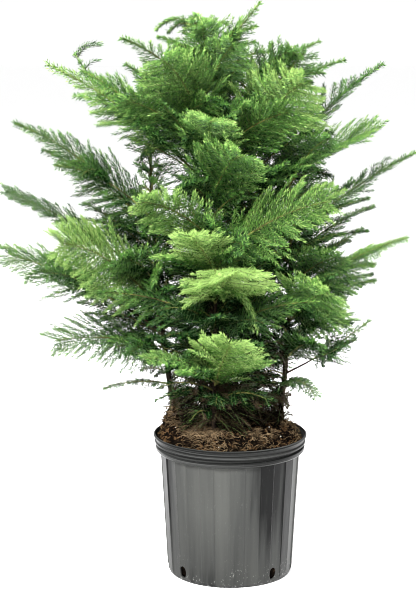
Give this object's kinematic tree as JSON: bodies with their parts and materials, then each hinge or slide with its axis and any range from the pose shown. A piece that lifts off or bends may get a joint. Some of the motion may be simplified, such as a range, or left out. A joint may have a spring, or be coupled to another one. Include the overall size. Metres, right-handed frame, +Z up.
{
  "type": "potted norfolk island pine",
  "caption": "Young Norfolk Island pine clump: upright stems with feathery whorls of soft needle fronds, standing in a fluted black nursery pot filled with bark mix.",
  "frame": {"origin": "middle of the pot's flat underside, where it stands", "axes": "+Z up through the pot to the crown, -Y the front seen in the picture, +X to the viewer's right"},
  "size_m": [0.6757, 0.5498, 0.9344],
  "materials": {
    "pot": "satin black moulded plastic",
    "soil": "rough bark and coir mix",
    "bark": "rough scaly bark",
    "foliage": "soft green needles"
  },
  "bodies": {
    "root": {"bough_left_3": "bark", "bough_left_6": "bark", "bough_left_7": "bark", "bough_middle_2": "bark", "bough_right_2": "bark", "foliage_back_1": "foliage", "foliage_back_10": "foliage", "foliage_back_2": "foliage", "foliage_back_3": "foliage", "foliage_back_4": "foliage", "foliage_back_5": "foliage", "foliage_back_6": "foliage", "foliage_back_7": "foliage", "foliage_back_8": "foliage", "foliage_back_9": "foliage", "foliage_front_1": "foliage", "foliage_front_2": "foliage", "foliage_front_3": "foliage", "foliage_front_4": "foliage", "foliage_front_5": "foliage", "foliage_front_6": "foliage", "foliage_front_7": "foliage", "foliage_front_8": "foliage", "foliage_front_9": "foliage", "foliage_left_1": "foliage", "foliage_left_10": "foliage", "foliage_left_2": "foliage", "foliage_left_3": "foliage", "foliage_left_4": "foliage", "foliage_left_5": "foliage", "foliage_left_6": "foliage", "foliage_left_7": "foliage", "foliage_left_8": "foliage", "foliage_left_9": "foliage", "foliage_middle_1": "foliage", "foliage_middle_2": "foliage", "foliage_middle_3": "foliage", "foliage_middle_4": "foliage", "foliage_middle_5": "foliage", "foliage_middle_6": "foliage", "foliage_middle_7": "foliage", "foliage_middle_8": "foliage", "foliage_middle_9": "foliage", "foliage_right_1": "foliage", "foliage_right_10": "foliage", "foliage_right_2": "foliage", "foliage_right_3": "foliage", "foliage_right_4": "foliage", "foliage_right_5": "foliage", "foliage_right_6": "foliage", "foliage_right_7": "foliage", "foliage_right_8": "foliage", "foliage_right_9": "foliage", "pot": "pot", "soil": "soil", "stem_back": "bark", "stem_front": "bark", "stem_left": "bark", "stem_middle": "bark", "stem_right": "bark"}
  },
  "joints": []
}
